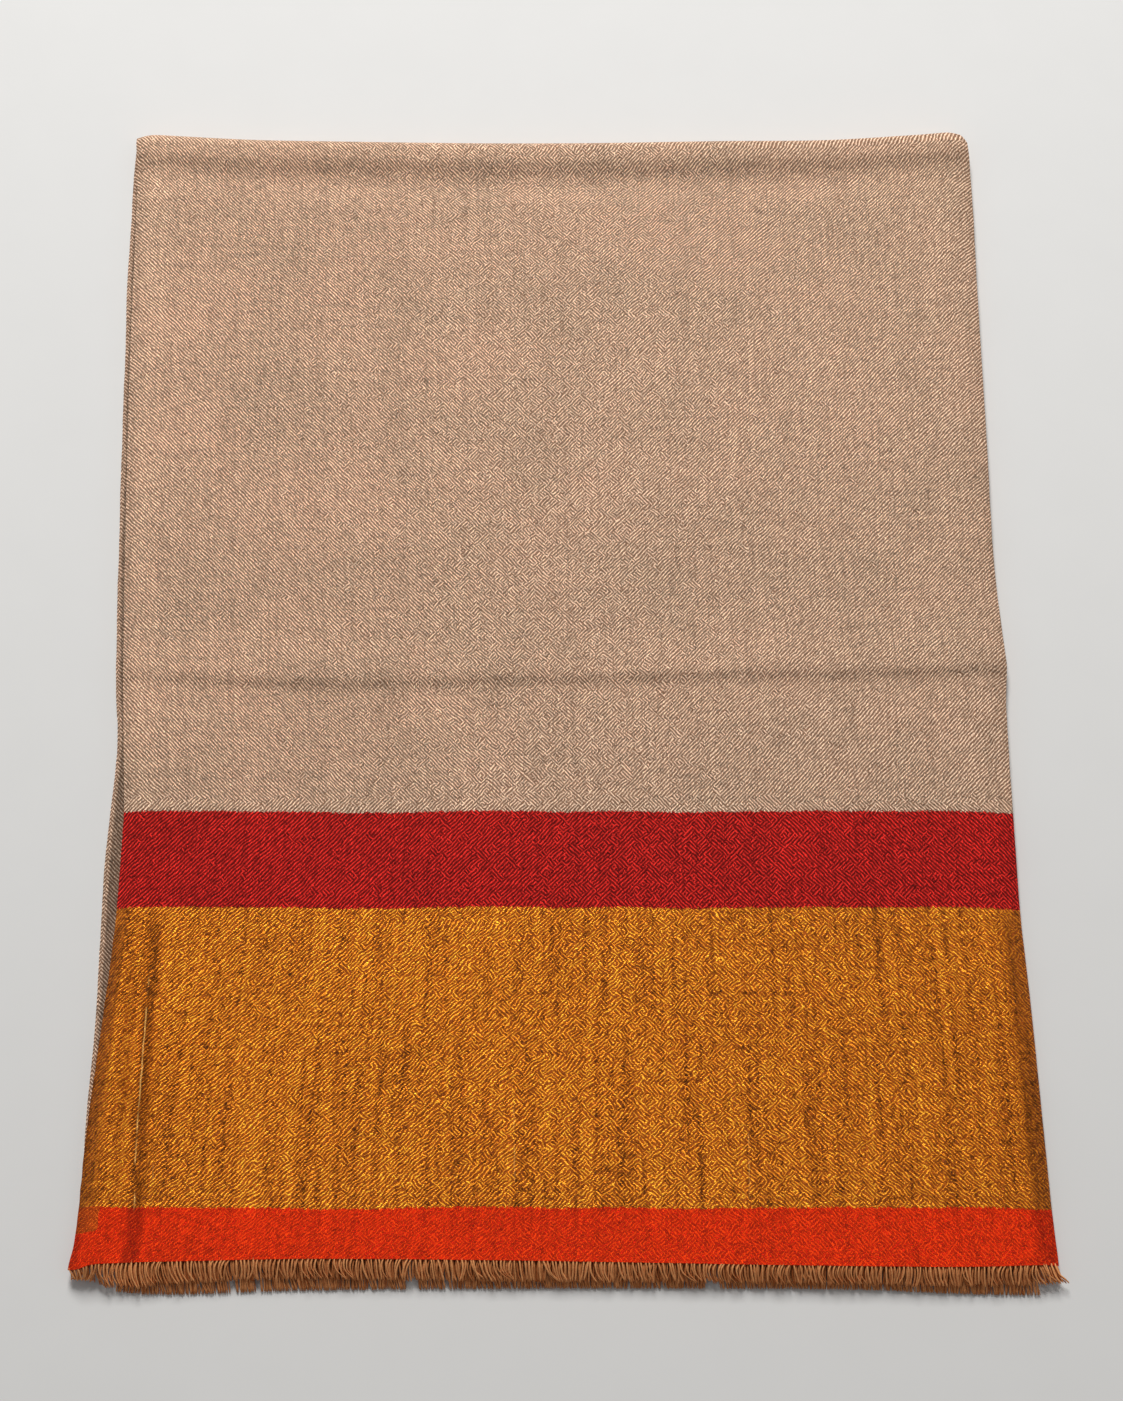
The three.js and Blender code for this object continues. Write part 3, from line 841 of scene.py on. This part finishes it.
def yarn(name, light, dark):
    """Loose twisted yarn, each strand painted lighter or darker by its row's painted shade and its
    own random tone.
    """
    s = Shader(name)
    at = s.node("ShaderNodeTexCoord", output="Object")
    shade = s.node("ShaderNodeAttribute", output=2, attribute_name=STRAND_PAINTED_SHADE)
    fibre = s.noise(at, 900.0, 3.0)
    twist = s.noise(at, 2600.0, 1.0)
    blend = (shade + (fibre - 0.5) * 0.7 + (twist - 0.5) * 0.3).clamped()
    return s.surface(s.mix(blend, dark, light), 0.8, fibre + twist, 0.15 * MM)


# Settings


def size_setting(name, description, default):
    return FloatProperty(name=name, description=description, default=default, min=0.0,
                         unit="LENGTH", precision=5)


def colour_setting(name, description, default):
    return FloatVectorProperty(name=name, description=description, default=default, min=0.0,
                               max=1.0, size=3, subtype="COLOR")


class StoleCloth(bpy.types.PropertyGroup):
    ply: size_setting("Ply", "Thickness of one ply of the cloth", 0.00050)
    row_spacing: size_setting("Row spacing", "Mesh spacing along the top ply", 0.00125)
    under_spacing: size_setting("Under spacing", "Mesh spacing along the plies beneath", 0.004)


class StoleColours(bpy.types.PropertyGroup):
    field_warp: colour_setting("Field warp", "Beige warp threads", (0.96, 0.67, 0.48))
    field_weft: colour_setting("Field weft", "Brown weft threads", (0.305, 0.162, 0.094))
    red_warp: colour_setting("Red warp", "Warp threads of the red band", (0.80, 0.028, 0.020))
    red_weft: colour_setting("Red weft", "Weft threads of the red band", (0.17, 0.004, 0.004))
    gold_warp: colour_setting("Gold warp", "Warp threads of the gold band", (0.36, 0.075, 0.006))
    gold_weft: colour_setting("Gold weft", "Metallic weft of the gold band", (1.0, 0.298, 0.022))
    orange_warp: colour_setting("Orange warp", "Warp of the orange band", (1.0, 0.057, 0.003))
    orange_weft: colour_setting("Orange weft", "Weft of the orange band", (0.74, 0.020, 0.002))
    # The fringe runs from its lit colour to its dark one by each strand's painted shade and tone:
    # the lower rows are painted darker, as shade.
    fringe_light: colour_setting("Fringe, light", "Lit strands of the fringe", (0.96, 0.42, 0.16))
    fringe_dark: colour_setting("Fringe, dark", "Darkest strands", (0.44, 0.12, 0.028))


class StoleFringe(bpy.types.PropertyGroup):
    strand: size_setting("Strand", "Thickness of a strand of the fringe", 0.00072)
    spacing: size_setting("Spacing", "Spacing of the strands along the end", 0.00142)


class StoleStage(bpy.types.PropertyGroup):
    floor: colour_setting("Floor", "Colour of the floor", (0.80, 0.79, 0.77))
    world: FloatProperty(name="Fill", description="Strength of the even fill light",
                         default=0.22, min=0.0)
    key: FloatProperty(name="Key", description="Power of the softbox", default=43.0, min=0.0,
                       unit="POWER")


# Pieces


# Each strand's painted shade and random tone, kept on its vertices.
STRAND_PAINTED_SHADE = "strand_shade"

# The grid of the top ply and of the plies beneath: steps in from each long edge, in mm, and how
# many columns lie between them.
LEFT_STEPS = [0, 0.7, 1.6, 2.8, 4.2, 5.8, 7.6, 9.6, 11.8, 14.2, 16.8, 19.6, 22.6, 26, 30]
RIGHT_STEPS = [0, 0.7, 1.5, 2.5, 3.7, 5.1, 6.7, 8.5, 10.6, 13.2, 16.4, 20.4, 25]
MIDDLE_COLUMNS = 92
HAIRPIN_STEPS = 9
TURN_STEPS = 18
UNDER_LEFT_STEPS = [0, 0.8, 2.2, 4.5, 8, 13, 20, 30]
UNDER_RIGHT_STEPS = [0, 1.2, 3, 6, 10, 16, 25]
UNDER_COLUMNS = 13
UNDER_HAIRPIN_STEPS = 8
UNDER_TURN_STEPS = 12


def declare(piece, node):
    """What every piece says to the frame: its body, and the node it stands for, which it hides."""
    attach(piece, "root")
    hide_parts(node)


def top_stretch(node, start, stop, material, wraps=False):
    """One woven stretch of the top ply, from `start` to `stop` mm along the cloth."""
    cloth = bpy.context.scene.stole_cloth
    spacing = cloth.row_spacing / MM
    stations = length_of_cloth(0, CLOTH_END + start, CLOTH_END + stop, start, spacing)
    if wraps:
        stations += turn_of_cloth(0, stop, TURN_STEPS)
    across = places(LEFT_STEPS, RIGHT_STEPS, MIDDLE_COLUMNS, "outer") + hairpin(HAIRPIN_STEPS)
    bm = bmesh.new()
    spots = {}
    shape_sheet(bm, stations, across, spots)
    write_map(bm, spots)
    piece = finished(f"{node}_cloth", bm, material, cloth.ply)
    declare(piece, node)
    return piece


class STOLE_OT_field(bpy.types.Operator):
    """Lay the beige field of the top ply, which wraps round the crosswise fold"""

    bl_idname = "stole.field"
    bl_label = "Field"

    def execute(self, context):
        material = woven("beige_twill", ["red", "field"])
        top_stretch("field", FIELD_START, BACK_TURN - CLOTH_END, material, True)
        return {"FINISHED"}


class STOLE_OT_border(bpy.types.Operator):
    """Lay the red, gold and orange bands of the end border"""

    bl_idname = "stole.border"
    bl_label = "Border bands"

    def execute(self, context):
        red = woven("red_twill", ["gold", "red", "field"])
        top_stretch("red_band", RED_START, FIELD_START, red)
        gold = woven("gold_weave", ["orange", "gold", "red"])
        top_stretch("gold_band", GOLD_START, RED_START, gold)
        orange = woven("orange_twill", ["orange", "gold"])
        top_stretch("orange_band", 0.0, GOLD_START, orange)
        return {"FINISHED"}


class STOLE_OT_under_layers(bpy.types.Operator):
    """Fold the plies under the top one, which show at the edges"""

    bl_idname = "stole.under_layers"
    bl_label = "Layers beneath"

    def execute(self, context):
        cloth = context.scene.stole_cloth
        top, back, rest = whole_path(cloth.under_spacing / MM, UNDER_TURN_STEPS)
        outer = places(UNDER_LEFT_STEPS, UNDER_RIGHT_STEPS, UNDER_COLUMNS, "outer")
        inner = places(UNDER_LEFT_STEPS, UNDER_RIGHT_STEPS, UNDER_COLUMNS, "inner")[::-1]
        fold = hairpin(UNDER_HAIRPIN_STEPS)
        bm = bmesh.new()
        spots = {}
        shape_sheet(bm, top + back, [fold[-1], *inner[1:]], spots)
        shape_sheet(bm, [back[-1], *rest], [*outer, *fold, *inner[1:]], spots)
        bmesh.ops.remove_doubles(bm, verts=bm.verts, dist=1e-7)
        write_map(bm, spots)
        material = woven("layered_cloth", ["orange", "gold", "red", "field"], ends=2)
        piece = finished("lower_plies", bm, material, cloth.ply)
        declare(piece, "under_layers")
        return {"FINISHED"}


STRAND_SIDES = 5
TIP_SHARE = 0.45  # how thick a strand still is at its tip


def strand(route, radius, shade):
    """One strand: a ring pulled along its route, thinner towards its tip and closed there."""
    bm = bmesh.new()
    layer = bm.verts.layers.float.new(STRAND_PAINTED_SHADE)
    facing = (route[1] - route[0]).to_track_quat("Z", "Y").to_matrix().to_4x4()
    bmesh.ops.create_circle(
        bm, cap_ends=True, segments=STRAND_SIDES, radius=radius,
        matrix=Matrix.Translation(route[0]) @ facing)
    edges = list(bm.edges)
    for before, after in zip(route, route[1:]):
        made = bmesh.ops.extrude_edge_only(bm, edges=edges)
        ring = [g for g in made["geom"] if isinstance(g, bmesh.types.BMVert)]
        edges = [g for g in made["geom"] if isinstance(g, bmesh.types.BMEdge)
                 and all(v in ring for v in g.verts)]
        bmesh.ops.translate(bm, verts=ring, vec=after - before)
    bmesh.ops.scale(bm, verts=ring, vec=[TIP_SHARE] * 3, space=Matrix.Translation(-route[-1]))
    bmesh.ops.contextual_create(bm, geom=ring)
    bmesh.ops.recalc_face_normals(bm, faces=bm.faces)
    for vert in bm.verts:
        vert[layer] = shade
    return bm


# Where the fringes' tips are, from left to right: the upper fringe and the one beneath.
FRINGE_TIPS = [
    {"x": -190, "upper": -238.6, "under": -242.0},
    {"x": -179.5, "upper": -239.6, "under": -242.0},
    {"x": -176.5, "upper": -241.4, "under": -242.2},
    {"x": -166, "upper": -242.2, "under": -243.7},
    {"x": -155, "upper": -241.2, "under": -244.2},
    {"x": -139, "upper": -240.0, "under": -244.0},
    {"x": -102, "upper": -239.0, "under": -242.7},
    {"x": -3, "upper": -239.8, "under": -241.8},
    {"x": 50, "upper": -240.0, "under": -241.8},
    {"x": 110, "upper": -240.9, "under": -242.2},
    {"x": 150, "upper": -241.6, "under": -243.9},
    {"x": 180, "upper": -240.5, "under": -244.4},
    {"x": 188, "upper": -239.4, "under": -244.4},
]


# The rows of strands. A root is a share of the stack's height, `back` is how far the strands start
# back from the end of the cloth, a tip is its height in mm, and `spacing` is a share of the
# fringe's own.
# The strands of the lower rows are painted darker, as painted shade beneath the upper rows; each
# strand adds its own random tone.
UPPER_ROWS = [
    {"left": -188.5, "right": 185, "root": 0.74, "back": 0.1, "tip": 3.0, "shade": 0.2,
     "spacing": 0.8, "curl": 0.5, "ragged": 0.12},
    {"left": -189, "right": 185.6, "root": 0.86, "back": 0.3, "tip": 3.6, "shade": 0.5,
     "spacing": 0.75, "curl": 1.0, "ragged": 0.14},
    {"left": -189.6, "right": 186, "root": 0.955, "back": 0.7, "tip": 4.3, "shade": 0.9,
     "spacing": 1.2, "curl": 1.7, "ragged": 0.14},
]
UNDER_ROWS = [
    {"left": -171, "right": 178, "root": 0.46, "back": 1.0, "tip": 0.6, "shade": 0.3,
     "spacing": 0.45, "curl": 0.4, "ragged": 0.02},
    {"left": -172, "right": 178.6, "root": 0.56, "back": 1.2, "tip": 1.0, "shade": 0.7,
     "spacing": 0.5, "curl": 0.9, "ragged": 0.03},
]
UNDER_GAPS = [
    {"start": -129, "stop": -126}, {"start": -119, "stop": -117}, {"start": -62, "stop": -57},
    {"start": -47, "stop": -44.5}, {"start": 52, "stop": 58},
]


CLUMP = {"least": 3, "most": 7}
STRAND_STEPS = 9
BOW = 0.35  # how far a strand bows upwards before it falls, in mm
LEFT_TUFT, RIGHT_TUFT = 9, 8  # how much of each end leans its own way, in mm


def fringe_row(row, reach, gaps, rng, pitch, radius):
    """Strands in clumps: each clump leans and curls its own way, and its tips draw together."""
    tips = column(FRINGE_TIPS, "x", reach)
    spacing = row["spacing"] * pitch
    x = row["left"]
    while x < row["right"]:
        count = rng.randint(CLUMP["least"], CLUMP["most"])
        width = count * spacing
        centre = x + width / 2
        lean = rng.uniform(-0.5, 1.2) * row["curl"]
        curl = rng.uniform(-1.0, 0.3) * row["curl"]
        gather = rng.uniform(0.1, 0.55) * min(row["curl"], 1.0)
        if centre > row["right"] - RIGHT_TUFT and reach == "upper":
            lean, curl, gather = 2.6, 0.4, 0.1
        if centre < row["left"] + LEFT_TUFT:
            lean, curl = -0.2, 0.4
        for n in range(count):
            at = x + spacing * (n + rng.uniform(0.2, 0.8))
            in_gap = any(gap["start"] < at < gap["stop"] for gap in gaps)
            if at > row["right"] or in_gap:
                continue
            own = rng.uniform(-0.6, 0.6)
            start = cloth_end(at) + row["back"]
            length = (start - tips(at)) * rng.uniform(1 - row["ragged"], 1.02)
            high = top_height(at, start)
            hook = rng.uniform(-0.2, 1.0) * lean
            route = []
            for k in range(STRAND_STEPS + 1):
                t = k / STRAND_STEPS
                side = lean * t ** 1.5 + own * t + curl * math.sin(math.pi * t)
                side += (centre - at) * gather * t * t + hook * ease(t, 0.55, 1.0)
                fall = lerp(row["root"] * high, row["tip"], ease(t, 0.0, 1.15))
                route.append(Vector((at + side, start - length * t * (1 - 0.06 * t),
                                     fall + BOW * math.sin(math.pi * t))) * MM)
            shade = row["shade"] + rng.uniform(-0.25, 0.25)
            yield strand(route, radius * rng.uniform(0.8, 1.1), shade)
        x += width


def fringe_piece(name, rows, reach, gaps, seed, radius, material):
    """Rows of strands, joined as one mesh. `reach` names a column of FRINGE_TIPS."""
    pitch = bpy.context.scene.stole_fringe.spacing / MM
    joined = bmesh.new()
    single = bpy.data.meshes.new("strand")
    rng = random.Random(seed)
    for row in rows:
        for bm in fringe_row(row, reach, gaps, rng, pitch, radius):
            bm.to_mesh(single)
            bm.free()
            joined.from_mesh(single)
    bpy.data.meshes.remove(single)
    return finished(name, joined, material)


class STOLE_OT_fringes(bpy.types.Operator):
    """Comb out the loose warp ends at both ends of the cloth"""

    bl_idname = "stole.fringes"
    bl_label = "Fringes"

    def execute(self, context):
        radius = context.scene.stole_fringe.strand / 2
        c = context.scene.stole_colours
        lit = yarn("fringe_yarn", tuple(c.fringe_light), tuple(c.fringe_dark))
        piece = fringe_piece("upper_strands", UPPER_ROWS, "upper", [], 11, radius, lit)
        declare(piece, "fringe")

        # Painted shade: the fringe beneath is a darkened copy of the lit yarn.
        shaded = yarn("under_fringe_yarn", tuple(0.8 * v for v in c.fringe_light),
                      tuple(c.fringe_dark))
        piece = fringe_piece("lower_strands", UNDER_ROWS, "under", UNDER_GAPS, 23,
                             0.8 * radius, shaded)
        declare(piece, "under_fringe")
        return {"FINISHED"}


CAMERA_TILT = math.radians(17.3)  # from straight down
CAMERA_AIM = Vector((-2.5, -9.7, 8.5)) * MM
CAMERA_DISTANCE = 1.2006
CAMERA_LENS = 77.09
SOFTBOX_SIZE = (0.55, 1.0)
SOFTBOX_PLACE = Vector((-0.12, 1.45, 1.65))
FLOOR_SIZE = 12.0


class STOLE_OT_stage(bpy.types.Operator):
    """Set out the floor, the softbox, the fill light and the camera"""

    bl_idname = "stole.stage"
    bl_label = "Stage"

    def execute(self, context):
        scene = context.scene
        stage = scene.stole_stage

        camera = bpy.data.objects.new("Camera", bpy.data.cameras.new("Camera"))
        scene.collection.objects.link(camera)
        backwards = Vector((0.0, -math.sin(CAMERA_TILT), math.cos(CAMERA_TILT)))
        camera.location = CAMERA_AIM + CAMERA_DISTANCE * backwards
        camera.rotation_euler = (CAMERA_TILT, 0.0, 0.0)
        camera.data.lens = CAMERA_LENS
        camera.data.clip_start = 0.05
        scene.camera = camera

        bm = bmesh.new()
        bmesh.ops.create_grid(bm, x_segments=1, y_segments=1, size=FLOOR_SIZE / 2)
        s = Shader("floor")
        at = s.node("ShaderNodeTexCoord", output="Object")
        grain = s.noise(at, 40.0, 3.0)
        floor = finished("floor", bm, s.surface(
            s.mix(grain, tuple(stage.floor), tuple(0.97 * v for v in stage.floor)), 0.7, grain,
            0.02 * MM))

        softbox = bpy.data.lights.new("Softbox", "AREA")
        softbox.shape = "RECTANGLE"
        softbox.size, softbox.size_y = SOFTBOX_SIZE
        softbox.energy = stage.key
        lamp = bpy.data.objects.new("Softbox", softbox)
        lamp.location = SOFTBOX_PLACE
        lamp.rotation_euler = (-lamp.location).to_track_quat("-Z", "Y").to_euler()
        scene.collection.objects.link(lamp)

        world = bpy.data.worlds.new("Studio")
        world.use_nodes = True
        background = world.node_tree.nodes["Background"]
        background.inputs["Color"].default_value = (1.0, 1.0, 1.0, 1.0)
        background.inputs["Strength"].default_value = stage.world
        scene.world = world
        scene.view_settings.view_transform = "Standard"
        return {"FINISHED"}


class STOLE_PT_panel(bpy.types.Panel):
    """The stole's pieces and their settings"""

    bl_label = "Folded stole"
    bl_idname = "STOLE_PT_panel"
    bl_space_type = "VIEW_3D"
    bl_region_type = "UI"
    bl_category = "Stole"

    def draw(self, context):
        for group in SETTINGS:
            box = self.layout.box()
            settings = getattr(context.scene, group)
            for name in settings.__annotations__:
                box.prop(settings, name)
        for piece in OPERATORS:
            self.layout.operator(piece.bl_idname)


OPERATORS = (STOLE_OT_stage, STOLE_OT_under_layers, STOLE_OT_field, STOLE_OT_border,
             STOLE_OT_fringes)
SETTINGS = {
    "stole_cloth": StoleCloth,
    "stole_colours": StoleColours,
    "stole_fringe": StoleFringe,
    "stole_stage": StoleStage,
}


def register():
    for group in SETTINGS.values():
        bpy.utils.register_class(group)
    for piece in OPERATORS:
        bpy.utils.register_class(piece)
    bpy.utils.register_class(STOLE_PT_panel)
    for name, group in SETTINGS.items():
        setattr(bpy.types.Scene, name, PointerProperty(type=group))


def unregister():
    for name in SETTINGS:
        delattr(bpy.types.Scene, name)
    bpy.utils.unregister_class(STOLE_PT_panel)
    for piece in reversed(OPERATORS):
        bpy.utils.unregister_class(piece)
    for group in reversed(SETTINGS.values()):
        bpy.utils.unregister_class(group)


def main():
    register()
    bpy.ops.stole.stage()
    bpy.ops.stole.under_layers()
    bpy.ops.stole.field()
    bpy.ops.stole.border()
    bpy.ops.stole.fringes()


if __name__ == "__main__":
    main()
